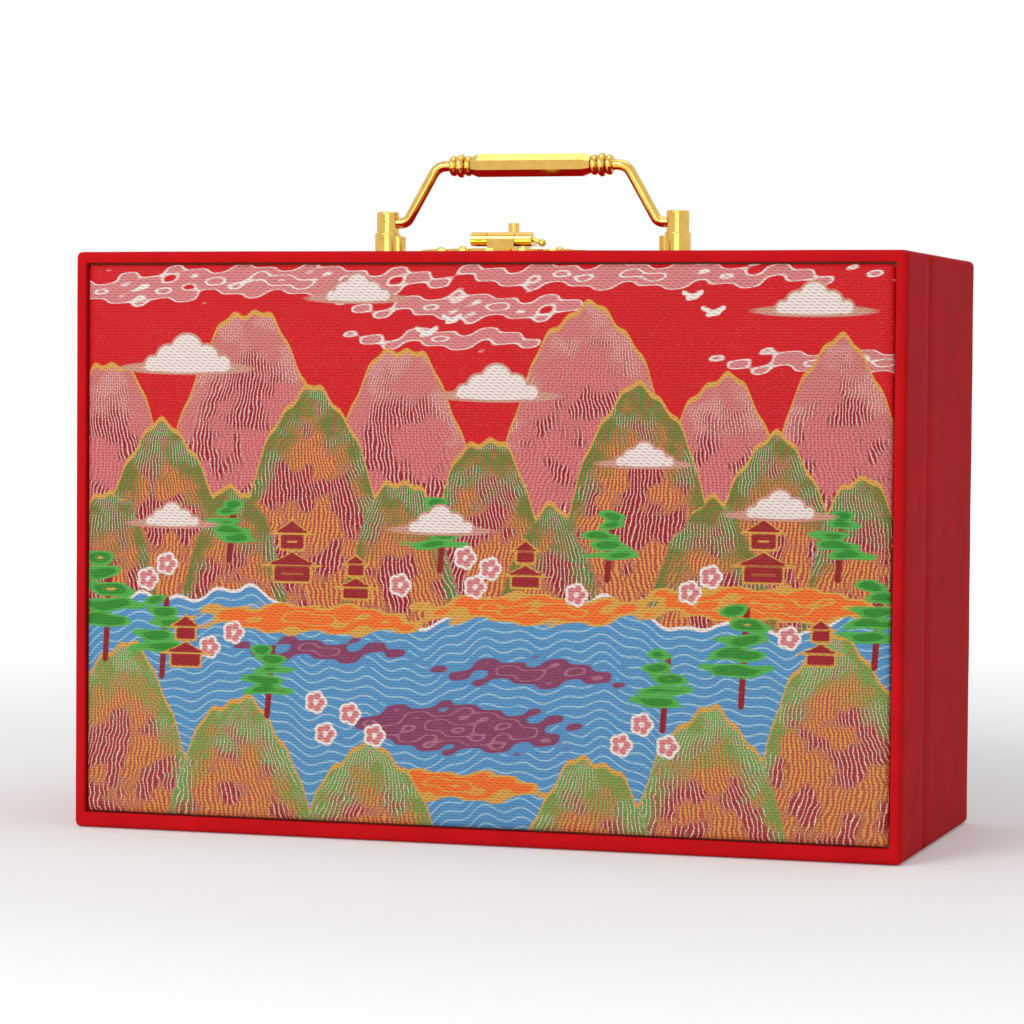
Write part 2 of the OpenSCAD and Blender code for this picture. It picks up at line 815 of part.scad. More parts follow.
// Hasp: two outer knuckles and a leaf that ends in a round tongue over the keeper
module hasp() {
    half = barrel_len / 2;
    inner = lug_w / 2 + part_gap;
    shoulder = barrel_r + 4;
    color(GOLD) translate([0, y_barrel, box_h]) difference() {
        union() {
            rod_x(-half, -inner, 0, barrel_h, barrel_r);
            rod_x(inner, half, 0, barrel_h, barrel_r);
            translate([0, 0, z_leaf]) linear_extrude(leaf_t) {
                translate([-half, 0]) square([2 * half, shoulder]);
                translate([-tongue_r, 0]) square([2 * tongue_r, barrel_set + knob_set]);
                translate([0, barrel_set + knob_set]) circle(r = tongue_r);
            }
        }
        block([-inner, -barrel_r - 1, 0], [inner, barrel_r + 0.5, 2 * barrel_h]);
        rod_x(-half - 1, half + 1, 0, barrel_h, hasp_pin_r + run_gap);
        translate([0, barrel_set + knob_set, 0]) cylinder(r = stem_r + run_gap, h = barrel_h);
    }
}

// Pin of the hasp, with a drooping end and a ball
module hasp_pin() {
    half = barrel_len / 2;
    color(GOLD) translate([0, y_barrel, box_h + barrel_h]) {
        rod_x(-half, half, 0, 0, hasp_pin_r);
        translate([half, 0, 0]) {
            sphere(r = hasp_pin_r + bend_swell, $fn = 96);
            rotate([0, 90 + pin_droop, 0]) {
                cylinder(r = hasp_pin_r, h = ball_reach);
                translate([0, 0, ball_reach]) sphere(r = ball_r, $fn = 96);
            }
        }
    }
}

// Turning knob: a fluted head and a collar above the leaf, a stem and a long foot below it
module turn_knob() {
    z_collar = z_leaf + leaf_t + 0.1;
    collar_t = 0.8;
    neck_t = 1;
    z_head = z_collar + collar_t + neck_t;
    color(GOLD) translate([0, y_knob, box_h]) {
        translate([0, 0, z_toe]) intersection() {
            cylinder(r = cavity_r - 0.1, h = toe_t);
            block([-toe_half_w, -toe_reach, 0], [toe_half_w, toe_reach, toe_t]);
        }
        translate([0, 0, z_toe]) cylinder(r = stem_r, h = z_head - z_toe);
        translate([0, 0, z_collar]) turned(collar_r, collar_t, 0.3);
        difference() {
            translate([0, 0, z_head]) turned(knob_r, knob_h - z_head, 0.5);
            for (i = [0 : flutes - 1]) {
                rotate([0, 0, 360 * i / flutes]) translate([knob_r + flute_r / 3, 0, z_head + 0.8])
                    cylinder(r = flute_r, h = knob_h - z_head - 1.8, $fn = 16);
            }
        }
    }
}

case_back();
case_top();
case_base();
case_left();
case_right();
case_velvet();
case_panel();
lining_back();
lining_top();
lining_base();
lining_left();
lining_right();
post_left();
post_right();
post_screw_left();
post_screw_right();
washer_left();
washer_right();
catch_plate();
catch_rivet(1);  // catch_rivet_1
catch_rivet(2);  // catch_rivet_2
catch_rivet(3);  // catch_rivet_3
catch_rivet(4);  // catch_rivet_4
hinge_case_left();
hinge_case_right();
hinge_pin_left();
hinge_pin_right();
lid_front();
lid_top();
lid_base();
lid_left();
lid_right();
lid_velvet();
lid_panel();
brocade_board();
brocade_pad();
lid_lining();
lid_lining_top();
lid_lining_base();
lid_lining_left();
lid_lining_right();
latch_plate();
latch_rivet(1);  // latch_rivet_1
latch_rivet(2);  // latch_rivet_2
latch_rivet(3);  // latch_rivet_3
latch_rivet(4);  // latch_rivet_4
hasp_pin();
hinge_lid_left();
hinge_lid_right();
hasp();
turn_knob();
bail_rod();
grip();
ferrule_left();
ferrule_right();
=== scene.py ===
import bmesh
import bpy
import json
import math
import numpy as np
from mathutils import Matrix, Vector


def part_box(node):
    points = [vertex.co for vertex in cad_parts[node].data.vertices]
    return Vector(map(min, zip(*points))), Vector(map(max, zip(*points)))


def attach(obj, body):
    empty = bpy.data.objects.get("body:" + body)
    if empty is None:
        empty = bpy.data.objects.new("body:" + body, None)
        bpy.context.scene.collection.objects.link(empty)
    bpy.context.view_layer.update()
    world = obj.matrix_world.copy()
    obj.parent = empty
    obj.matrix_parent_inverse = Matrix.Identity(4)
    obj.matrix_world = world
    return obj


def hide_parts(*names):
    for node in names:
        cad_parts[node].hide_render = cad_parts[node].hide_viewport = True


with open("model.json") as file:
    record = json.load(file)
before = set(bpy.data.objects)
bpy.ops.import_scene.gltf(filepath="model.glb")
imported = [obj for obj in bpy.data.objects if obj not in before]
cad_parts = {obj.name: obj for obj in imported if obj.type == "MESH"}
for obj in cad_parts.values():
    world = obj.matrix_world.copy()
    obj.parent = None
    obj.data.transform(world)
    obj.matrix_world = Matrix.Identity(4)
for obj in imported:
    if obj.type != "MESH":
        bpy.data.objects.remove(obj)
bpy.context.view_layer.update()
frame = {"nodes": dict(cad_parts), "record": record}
MM = 0.001

# Places read from the frame
case_low, case_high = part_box("case_velvet")
lid_low, lid_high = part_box("lid_velvet")
pad_low, pad_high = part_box("brocade_pad")
board_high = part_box("brocade_board")[1]
front_low, front_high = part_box("lid_front")
HALF_W = case_high.x
HEIGHT = case_high.z
Y_FRONT = lid_low.y
Y_LID = lid_high.y
Y_CASE = case_low.y
Y_BACK = case_high.y
BOARD_BACK = board_high.y
SIDE_IN = HALF_W - front_high.x
BASE_IN = front_low.z

# Velvet covers
CLOTH = 1.0 * MM
EDGE_R = 2.4 * MM
SEAM_R = 0.6 * MM
SEAM_SET = 0.15 * MM
INNER_R = 0.5 * MM
GROOVE = 2.6 * MM
GROOVE_H = 1.7 * MM
CORNER_STEPS = 6
ROUND_STEPS = 5
RIM_STEPS = 3
LINE_STEP = 2.5 * MM
RIPPLE = 0.12 * MM
RIPPLE_REACH = 0.3 * MM
BACK_INSETS = (12 * MM, 40 * MM)

# Hardware edges
BEVEL = 0.18 * MM
BEVEL_ANGLE = math.radians(35)

# Linings and base cloths
PANEL_STEP = 6 * MM
PANEL_EDGE_STEPS = 4
PANEL_WAVE = 0.05
PANEL_WAVE_START = 8 * MM
SOFT_PANELS = {
    "case": ["lining_back", "lining_top", "lining_base", "lining_left", "lining_right", "case_panel"],
    "lid": ["lid_lining", "lid_lining_top", "lid_lining_base", "lid_lining_left",
            "lid_lining_right", "lid_panel"],
}

# Brocade pad, in millimetres
PAD_ROUND = 4.0
PAD_CORNER = 1.8
PAD_SIDE = 0.8
PAD_CROWN_W = 40.0
PAD_CROWN = 0.4
PAD_PULL = 0.10
PAD_PULL_AT = 5
PAD_PULL_W = 4
PAD_EDGE_PLACES = [0, 0.05, 0.3, 0.8, 1.5, 2.3, 3.2]
PAD_INNER_START = 4
PAD_W = (pad_high.x - pad_low.x) / MM
PAD_H = (pad_high.z - pad_low.z) / MM
PAD_T = (pad_high.y - pad_low.y) / MM

# Woven design, in millimetres from the middle of the pad's lower edge
# Hills: middle, top and half width
FAR = [(-150, 176, 34), (-30, 182, 40), (96, 172, 34), (-92, 196, 44), (44, 198, 46), (140, 186, 34)]
MID = [(-128, 152, 36), (4, 148, 34), (116, 150, 34), (-66, 166, 40), (64, 168, 40), (148, 136, 26),
       (-150, 126, 26), (-30, 132, 30), (92, 126, 30), (-98, 128, 28), (30, 122, 26)]
NEAR = [(-144, 66, 34), (-96, 46, 34), (-42, 30, 30), (140, 76, 38), (92, 48, 34), (46, 28, 28)]
# Halls: middle, foot and width; pines: middle, foot and height
HALLS = [(-74, 92, 24), (-48, 86, 17), (20, 92, 18), (112, 96, 24), (-118, 58, 20), (134, 66, 17)]
PINES = [(-152, 60, 40), (-128, 54, 30), (-84, 40, 26), (74, 40, 28), (104, 50, 36), (154, 66, 30),
         (52, 96, 24), (-14, 98, 26), (-100, 100, 22), (140, 98, 24)]
# Blossoms: middle; clouds and birds: middle and size
BLOSSOM = [(-60, 34), (-50, 42), (-40, 34), (-64, 46), (-108, 66), (-98, 72), (58, 34), (66, 42),
           (76, 34), (122, 76), (0, 92), (6, 99), (-4, 103), (84, 92), (92, 98), (-134, 92),
           (-126, 98), (-30, 92), (40, 90)]
CLOUDS = [(-118, 178, 11), (8, 168, 10), (118, 124, 8), (-14, 116, 8), (-124, 116, 7), (66, 142, 7),
          (130, 200, 9), (-48, 204, 8)]
BIRDS = [(-20, 188, 4), (-10, 193, 3.5), (92, 196, 4), (84, 202, 3.5)]
# Flat patches: middle, half width and half height
MISTS = [(-80, 208, 60, 5), (60, 210, 70, 4), (0, 198, 40, 4), (-140, 204, 30, 4), (146, 178, 40, 4),
         (-10, 186, 30, 3)]
DEEPS = [(-6, 38, 44, 9), (24, 60, 34, 5), (-62, 66, 30, 4)]
BARS = [(-66, 78, 44, 5), (24, 84, 40, 5), (112, 88, 46, 6), (-8, 16, 30, 5)]
HILL_ROWS = (("far", FAR, 90), ("mid", MID, 60), ("near", NEAR, -12))
SHORE = 82
OUTSIDE = -99.0
FOLD_START = 400
PETALS = 5
PETAL_REACH = 2.4
PETAL_R = 1.9
TRUNK_HALF = 0.8
TRUNK_LEAN = 2
PINE_TIERS = 5
WING_HALF = 0.55
BODY_HALF = 0.6

# Weave
WEFT_PITCH = 1.1 * MM
TWILL_PITCH = 2.8 * MM
TWILL_SLOPE = 1.7
FOLD_PITCH = 2.2
EDGE_SOFT = 0.15
LINE_SOFT = 0.2

# Camera at the photograph's angle
CAMERA_AT = (417.7 * MM, -1376.0 * MM, 179.9 * MM)
CAMERA_YAW = 17.153
CAMERA_PITCH = -2.202
CAMERA_ROLL = 0.448
FOCAL_PIXELS = 3621.3
IMAGE_PIXELS = 1024
SENSOR = 36.0
CLIP_END = 20

# Studio: each lamp is its name, place, size and power
LAMPS = [
    ("key", (-0.7, -1.6, 1.1), 0.9, 16.0),
    ("front", (0.2, -1.7, 0.3), 1.2, 7.0),
    ("top", (0.1, 0.1, 1.5), 0.9, 4.0),
]
LAMP_AIM = (0.0, 0.0, 0.12)
FILL_LIGHT = 0.38
WHITE = (1, 1, 1, 1)
FLOOR_SIZE = 12
FLOOR_Z = -0.2 * MM
# Painted glow on the floor, for camera and glossy rays only: its strength near the box, the strength added
# far from it, and the distances in metres over which it grows
FLOOR_PAINTED_GLOW_NEAR = 0.16
FLOOR_PAINTED_GLOW_MORE = 0.6
FLOOR_PAINTED_GLOW_START = 0.25
FLOOR_PAINTED_GLOW_END = 1.4


def linear(r, g, b):
    """Linear colour of an sRGB colour given from 0 to 255."""
    def one(v):
        v = v / 255
        return v / 12.92 if v <= 0.04045 else ((v + 0.055) / 1.055) ** 2.4
    return (one(r), one(g), one(b), 1.0)


# Cloth colours
RED_VELVET = linear(204, 3, 15)
DEEP_VELVET = linear(186, 1, 10)
VELVET_SHEEN = linear(255, 60, 70)
DARK_CLOTH = linear(92, 14, 20)
DARKER_CLOTH = linear(60, 6, 12)
LINING_GOLD = linear(226, 190, 110)
LINING_SHADE = linear(196, 152, 76)

# Thread colours
RED_SATIN = linear(216, 6, 20)
DEEP_SATIN = linear(204, 5, 16)
DARK_RED = linear(138, 14, 22)
BRICK_RED = linear(150, 24, 30)
RUST = linear(150, 52, 44)
ROSE_CLOTH = linear(188, 70, 66)
WARM_ROSE = linear(190, 84, 72)
FAR_ROSE = linear(204, 96, 98)
PALE_ROSE = linear(206, 130, 120)
PINK = linear(214, 128, 128)
IVORY = linear(240, 230, 222)
CLOUD_WHITE = linear(236, 222, 214)
CLOUD_EDGE = linear(206, 150, 130)
GOLD_THREAD = linear(216, 162, 70)
GREEN = linear(20, 138, 40)
LIGHT_GREEN = linear(70, 176, 72)
BLUE = linear(74, 148, 196)
PALE_BLUE = linear(150, 196, 214)
PURPLE = linear(128, 62, 96)
LILAC = linear(170, 110, 130)
ORANGE = linear(240, 112, 36)

# Board and metal colours
FIBRE_DARK = linear(150, 118, 82)
FIBRE_LIGHT = linear(196, 166, 124)
GOLD = linear(226, 184, 98)
GOLD_SHADE = linear(212, 166, 80)
STEEL = linear(190, 190, 192)
STEEL_SHADE = linear(150, 150, 154)
FLOOR_COLOUR = linear(236, 236, 236)


class Paint:
    """Node tree of one material, with short calls for the nodes used here."""

    def __init__(self, name):
        self.material = bpy.data.materials.new(name)
        self.material.use_nodes = True
        self.tree = self.material.node_tree
        self.shader = self.tree.nodes["Principled BSDF"]

    def add(self, kind, **settings):
        node = self.tree.nodes.new(kind)
        for key, value in settings.items():
            setattr(node, key, value)
        return node

    def feed(self, socket, value):
        """Links a node's output to the socket, or sets the socket to a plain value."""
        if isinstance(value, bpy.types.NodeSocket):
            self.tree.links.new(value, socket)
        else:
            socket.default_value = value

    def math(self, operation, a, b=0.0):
        node = self.add("ShaderNodeMath", operation=operation)
        self.feed(node.inputs[0], a)
        self.feed(node.inputs[1], b)
        return node.outputs[0]

    def ramp(self, value, start, end):
        """0 at start and 1 at end, in a straight line between and level beyond them."""
        node = self.add("ShaderNodeMapRange")
        self.feed(node.inputs["Value"], value)
        node.inputs["From Min"].default_value = start
        node.inputs["From Max"].default_value = end
        return node.outputs["Result"]

    def mix(self, factor, a, b):
        """Colour a where the factor is 0 and colour b where it is 1."""
        node = self.add("ShaderNodeMix", data_type="RGBA")
        self.feed(node.inputs[0], factor)
        self.feed(node.inputs[6], a)
        self.feed(node.inputs[7], b)
        return node.outputs[2]

    def place(self):
        return self.add("ShaderNodeTexCoord").outputs["Object"]

    def noise(self, scale, detail=2.0):
        """Noise with about this many features to the metre."""
        node = self.add("ShaderNodeTexNoise")
        self.feed(node.inputs["Vector"], self.place())
        node.inputs["Scale"].default_value = scale
        node.inputs["Detail"].default_value = detail
        return node.outputs["Fac"]

    def attribute(self, name):
        return self.add("ShaderNodeAttribute", attribute_name=name).outputs["Fac"]

    def bump(self, height, strength, distance):
        node = self.add("ShaderNodeBump")
        node.inputs["Strength"].default_value = strength
        node.inputs["Distance"].default_value = distance
        self.feed(node.inputs["Height"], height)
        self.feed(self.shader.inputs["Normal"], node.outputs["Normal"])

    def set(self, **inputs):
        """Feeds the shader's own sockets and returns the finished material."""
        for key, value in inputs.items():
            self.feed(self.shader.inputs[key.replace("_", " ")], value)
        return self.material


# Plain materials
def velvet(name, colour, dark):
    p = Paint(name)
    nap = p.noise(scale=45.0, detail=4.0)
    pile = p.noise(scale=1800.0)
    p.bump(p.math("ADD", pile, p.math("MULTIPLY", nap, 1.5)), strength=0.35, distance=0.4 * MM)
    return p.set(
        Base_Color=p.mix(p.ramp(nap, 0.3, 0.7), dark, colour),
        Roughness=0.85,
        Sheen_Weight=0.12,
        Sheen_Roughness=0.3,
        Sheen_Tint=VELVET_SHEEN,
        Specular_IOR_Level=0.2,
    )


def metal(name, colour, shade, rough):
    p = Paint(name)
    cloud = p.noise(scale=220.0, detail=3.0)
    p.bump(p.noise(scale=2600.0), strength=0.02, distance=0.1 * MM)
    return p.set(
        Base_Color=p.mix(p.ramp(cloud, 0.4, 0.75), colour, shade),
        Metallic=1.0,
        Roughness=p.math("ADD", rough, p.math("MULTIPLY", cloud, 0.05)),
    )


def satin(name, colour, shade):
    p = Paint(name)
    wave = p.add("ShaderNodeTexWave", wave_type="BANDS", bands_direction="DIAGONAL")
    p.feed(wave.inputs["Vector"], p.place())
    wave.inputs["Scale"].default_value = 600.0
    p.bump(wave.outputs["Fac"], strength=0.2, distance=0.2 * MM)
    return p.set(
        Base_Color=p.mix(p.noise(scale=60.0), shade, colour),
        Roughness=0.45,
        Sheen_Weight=0.3,
    )


def board(name):
    p = Paint(name)
    fibre = p.noise(scale=900.0, detail=5.0)
    p.bump(fibre, strength=0.3, distance=0.3 * MM)
    return p.set(Base_Color=p.mix(fibre, FIBRE_DARK, FIBRE_LIGHT), Roughness=0.9)


# Brocade material: the pad's mesh carries a distance field for each motif
def woven(p, colour):
    """The colour with weft rows, painted shade where the rows meet, and small binding dots laid over it, and
    their bump.
    """
    xyz = p.add("ShaderNodeSeparateXYZ")
    p.feed(xyz.inputs[0], p.place())
    x, z = xyz.outputs["X"], xyz.outputs["Z"]
    row = p.math("PINGPONG", z, WEFT_PITCH / 2)
    rows = p.ramp(row, 0.0, 0.3 * MM)
    slant = p.math("PINGPONG", p.math("ADD", x, p.math("MULTIPLY", z, TWILL_SLOPE)), TWILL_PITCH / 2)
    on_slant = p.ramp(slant, 0.45 * MM, 0.2 * MM)
    dots = p.math("MULTIPLY", on_slant, p.ramp(row, 0.4 * MM, 0.2 * MM))
    speck = p.ramp(p.noise(scale=1900.0, detail=1.0), 0.60, 0.66)
    colour = p.mix(p.math("MULTIPLY", speck, 0.16), colour, PINK)
    colour = p.mix(p.math("MULTIPLY", dots, 0.55), colour, DARK_RED)
    # Painted shade: each weft row is darker towards its edges, in the grooves where the bump dips between
    # rows.
    shade = p.add("ShaderNodeHueSaturation")
    p.feed(shade.inputs["Value"], p.math("ADD", 0.80, p.math("MULTIPLY", rows, 0.20)))
    p.feed(shade.inputs["Color"], colour)
    p.bump(p.math("SUBTRACT", rows, dots), strength=0.35, distance=0.3 * MM)
    return shade.outputs["Color"]


def motif(p, colour, name, fill, line, line_w, pitch=0.0, inner=None):
    """Lays one motif over the colour: its fill, its outline and, with a pitch, lines inside it."""
    field = p.attribute(name)
    colour = p.mix(p.ramp(field, -EDGE_SOFT, EDGE_SOFT), colour, fill)
    if pitch:
        stripe = p.ramp(p.math("PINGPONG", field, pitch / 2), 0.45, 0.15)
        inside = p.math("MULTIPLY", stripe, p.ramp(field, 0.3, 0.6))
        colour = p.mix(inside, colour, inner)
    edge = p.ramp(p.math("ABSOLUTE", field), line_w + LINE_SOFT, line_w - LINE_SOFT)
    return p.mix(edge, colour, line)


def mountain(p, colour, layer, cloth, crest, strand_a, strand_b):
    """One row of hills: cloth ground, folds that run down from the ridge, a crest and an outline."""
    field = p.attribute(layer + "_hills")
    strand = p.attribute(layer + "_folds")
    wander = p.math("MULTIPLY", p.math("SUBTRACT", p.noise(scale=160.0, detail=3.0), 0.5), 5.0)
    fold = p.math("PINGPONG", p.math("ADD", strand, wander), FOLD_PITCH / 2)
    patches = p.ramp(p.noise(scale=70.0), 0.46, 0.54)
    strands = p.mix(patches, strand_a, strand_b)
    near_crest = p.ramp(p.math("ADD", field, p.math("MULTIPLY", wander, 5.0)), 15.0, 4.0)
    body = p.mix(near_crest, cloth, p.mix(0.35, cloth, crest))
    body = p.mix(p.ramp(fold, 0.62, 0.42), body, p.mix(near_crest, strands, crest))
    body = p.mix(p.math("MULTIPLY", p.ramp(fold, 0.9, 1.0), patches), body, IVORY)
    colour = p.mix(p.ramp(field, -EDGE_SOFT, EDGE_SOFT), colour, body)
    edge = p.ramp(p.math("ABSOLUTE", field), 0.8, 0.4)
    return p.mix(edge, colour, GOLD_THREAD)


def brocade(name):
    """Satin ground with the motifs laid over it from back to front."""
    p = Paint(name)
    colour = p.mix(p.noise(scale=35.0), RED_SATIN, DEEP_SATIN)
    colour = motif(p, colour, "mist", PINK, IVORY, 0.25, 3.4, IVORY)
    colour = mountain(p, colour, "far", FAR_ROSE, PALE_ROSE, PINK, DARK_RED)
    colour = mountain(p, colour, "mid", ROSE_CLOTH, GREEN, GOLD_THREAD, DARK_RED)
    colour = motif(p, colour, "water", BLUE, IVORY, 0.6, 3.2, PALE_BLUE)
    colour = motif(p, colour, "deeps", PURPLE, BLUE, 0.5, 3.2, LILAC)
    colour = motif(p, colour, "bars", ORANGE, GOLD_THREAD, 0.6, 3.0, GOLD_THREAD)
    colour = mountain(p, colour, "near", WARM_ROSE, LIGHT_GREEN, GOLD_THREAD, RUST)
    colour = motif(p, colour, "trunks", DARK_RED, DARK_RED, 0.4)
    colour = motif(p, colour, "pines", GREEN, LIGHT_GREEN, 0.4, 2.6, GOLD_THREAD)
    colour = motif(p, colour, "blossom", PINK, IVORY, 0.5)
    colour = motif(p, colour, "halls", BRICK_RED, GOLD_THREAD, 0.4, 3.0, GOLD_THREAD)
    colour = motif(p, colour, "clouds", CLOUD_WHITE, CLOUD_EDGE, 0.45)
    colour = motif(p, colour, "birds", IVORY, IVORY, 0.3)
    return p.set(
        Base_Color=woven(p, colour),
        Roughness=0.5,
        Specular_IOR_Level=0.2,
        Sheen_Weight=0.05,
        Sheen_Roughness=0.4,
    )


MATERIALS = {
    "velvet": velvet("red_velvet", RED_VELVET, DEEP_VELVET),
    "panel": velvet("base_cloth", DARK_CLOTH, DARKER_CLOTH),
    "board": board("fibreboard"),
    "satin": satin("gold_satin", LINING_GOLD, LINING_SHADE),
    "brocade": brocade("brocade"),
    "gold": metal("polished_gold", GOLD, GOLD_SHADE, 0.07),
    "steel": metal("plain_steel", STEEL, STEEL_SHADE, 0.28),
}


def dress_cad_nodes():
    """Gives each CAD node its material, and each metal one softened edges."""
    for part in frame["record"]["subparts"]:
        slot = part["material_slot"]
        obj = frame["nodes"][part["node"]]
        obj.data.materials.clear()
        obj.data.materials.append(MATERIALS[slot])
        if slot in ("gold", "steel"):
            bevel = obj.modifiers.new("edges", "BEVEL")
            bevel.width = BEVEL
            bevel.segments = 2
            bevel.limit_method = "ANGLE"
            bevel.angle_limit = BEVEL_ANGLE
            bevel.harden_normals = True


def new_piece(name, verts, faces, slot, body, stands_for):
    """A smooth mesh that rides on a body and replaces one CAD node."""
    mesh = bpy.data.meshes.new(name)
    mesh.from_pydata([tuple(v) for v in verts], [], faces)
    mesh.validate()
    mesh.shade_smooth()
    obj = bpy.data.objects.new(name, mesh)
    bpy.context.scene.collection.objects.link(obj)
    mesh.materials.append(MATERIALS[slot])
    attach(obj, body)
    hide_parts(stands_for)
    return obj


def grid_faces(rows, cols):
    """Four-sided faces of a grid whose points are numbered row by row."""
    index = np.arange(rows * cols).reshape(rows, cols)
    corners = [index[:-1, :-1], index[:-1, 1:], index[1:, 1:], index[1:, :-1]]
    return np.stack(corners, axis=-1).reshape(-1, 4)


# Velvet covers: closed lines round the box, joined one to the next
def loop(side, base, y, corner_r, y_base=None):
    """One line round the box: inset from the sides and top, height above the floor, depth."""
    if y_base is None:
        y_base = y
    r = corner_r
    right, bottom, top = HALF_W - side - r, base + r, HEIGHT - side - r
    corners = [(right, top, 0), (-right, top, 90), (-right, bottom, 180), (right, bottom, 270)]
    n_long = int(2 * HALF_W / LINE_STEP)
    n_tall = int(HEIGHT / LINE_STEP)
    points = []
    for k, (cx, cz, start) in enumerate(corners):
        for i in range(CORNER_STEPS + 1):
            a = math.radians(start + 90 * i / CORNER_STEPS)
            low_share = max(0.0, -math.sin(a)) ** 2
            points.append((cx + r * math.cos(a), y + (y_base - y) * low_share, cz + r * math.sin(a)))
        next_x, next_z, next_start = corners[(k + 1) % 4]
        a = math.radians(next_start)
        here = np.array(points[-1])
        next_y = y_base if k == 2 else here[1]
        there = np.array((next_x + r * math.cos(a), next_y, next_z + r * math.sin(a)))
        n = n_long if k in (0, 2) else n_tall
        for i in range(1, n):
            points.append(tuple(here + (there - here) * i / n))
    return np.array(points)


def ripple(points):
    """Small smooth unevenness of glued cloth, drawn inwards so that the cover stays in its box."""
    x, y, z = points.T / MM
    across = np.sin(x * 0.11 + z * 0.07) * np.sin(y * 0.23 + x * 0.031)
    wave = across + np.sin(z * 0.17 - x * 0.05 + y * 0.1)
    depth = RIPPLE * (wave + 2) / 4
    centre = np.array([0, (Y_FRONT + Y_BACK) / 2, HEIGHT / 2])
    away = np.sign(points - centre)
    outer = np.abs(points - centre) > np.array([HALF_W, Y_BACK, HEIGHT / 2]) - RIPPLE_REACH
    outer[:, 2] &= points[:, 2] > HEIGHT / 2
    return points - away * outer * depth[:, None]


def cover(name, lines, body, stands_for, closed):
    """Joins the lines to one skin and, where it is closed, fills its last line with one face."""
    verts = ripple(np.concatenate(lines))
    n = len(lines[0])
    faces = []
    for j in range(len(lines) - 1):
        for i in range(n):
            k = (i + 1) % n
            faces.append((j * n + i, j * n + k, (j + 1) * n + k, (j + 1) * n + i))
    if closed:
        faces.append(tuple(range((len(lines) - 1) * n, len(lines) * n)))
    new_piece(name, verts, faces, "velvet", body, stands_for)


def rounded(y_end, inward):
    """Lines from the flat face at y_end round to the outer side."""
    lines = []
    for i in range(ROUND_STEPS + 1):
        a = math.pi / 2 * i / ROUND_STEPS
        d = EDGE_R * (1 - math.sin(a))
        y = y_end + inward * EDGE_R * (1 - math.cos(a))
        lines.append(loop(d, d, y, EDGE_R - d * 0.6))
    return lines


def side_lines(y_start, y_end, shares):
    """Lines along the flat outer sides."""
    return [loop(0, 0, y_start + (y_end - y_start) * share, EDGE_R) for share in shares]


def seam_lines(y_seam, away):
    """Lines from the outer side into the seam, with the hinge groove along the underside."""
    return [
        loop(0, 0, y_seam + away * SEAM_R, EDGE_R, y_seam + away * GROOVE),
        loop(SEAM_R * 0.3, GROOVE_H / 2, y_seam + away * SEAM_R * 0.3, EDGE_R, y_seam + away * GROOVE / 2),
        loop(SEAM_R, GROOVE_H, y_seam + away * SEAM_SET, EDGE_R - SEAM_R),
        loop(SIDE_IN, BASE_IN, y_seam + away * SEAM_SET, INNER_R),
        loop(SIDE_IN, BASE_IN, y_seam + away * CLOTH, INNER_R),
    ]


def lid_cover():
    """From the brocade's recess, over the front rim and back to the seam."""
    rim_side = SIDE_IN + CLOTH
    rim_base = BASE_IN + CLOTH
    lines = [loop(rim_side, rim_base, BOARD_BACK, INNER_R)]
    for i in range(RIM_STEPS + 1):
        a = math.pi / 2 * i / RIM_STEPS
        d = SEAM_R * (1 - math.cos(a))
        y = Y_FRONT + SEAM_R * (1 - math.sin(a))
        lines.append(loop(rim_side - d, rim_base - d, y, INNER_R + d))
    lines += rounded(Y_FRONT, 1)
    lines += side_lines(Y_FRONT, Y_LID, (0.2, 0.4, 0.6, 0.8))
    lines += seam_lines(Y_LID, -1)
    cover("lid_cover", lines, "lid", "lid_velvet", closed=False)


def case_cover():
    """From the seam to the back edge and over the back."""
    lines = seam_lines(Y_CASE, 1)[::-1]
    lines += side_lines(Y_CASE, Y_BACK, (0.15, 0.3, 0.45, 0.6, 0.75, 0.9))
    lines += rounded(Y_BACK, -1)[::-1]
    lines += [loop(inset, inset, Y_BACK, INNER_R) for inset in BACK_INSETS]
    cover("case_cover", lines, "case", "case_velvet", closed=True)


# Linings and base cloths: closed slabs with rounded edges, each in its solid's box
def panel_places(length, half):
    """Places across a slab: close together at its rounded edges."""
    quarter = math.pi / 2 / PANEL_EDGE_STEPS
    edge = [half * (1 - math.cos(quarter * i)) for i in range(PANEL_EDGE_STEPS + 1)]
    inner = np.linspace(2 * half, length - 2 * half, max(2, int(length / PANEL_STEP)))
    return np.array(edge + list(inner) + [length - e for e in edge[::-1]])


def weld_rim(mesh):
    """Joins the two faces of a slab where they meet, and turns all faces outward."""
    weld = bmesh.new()
    weld.from_mesh(mesh)
    bmesh.ops.remove_doubles(weld, verts=weld.verts, dist=0.001 * MM)
    bmesh.ops.recalc_face_normals(weld, faces=weld.faces)
    weld.to_mesh(mesh)
    weld.free()


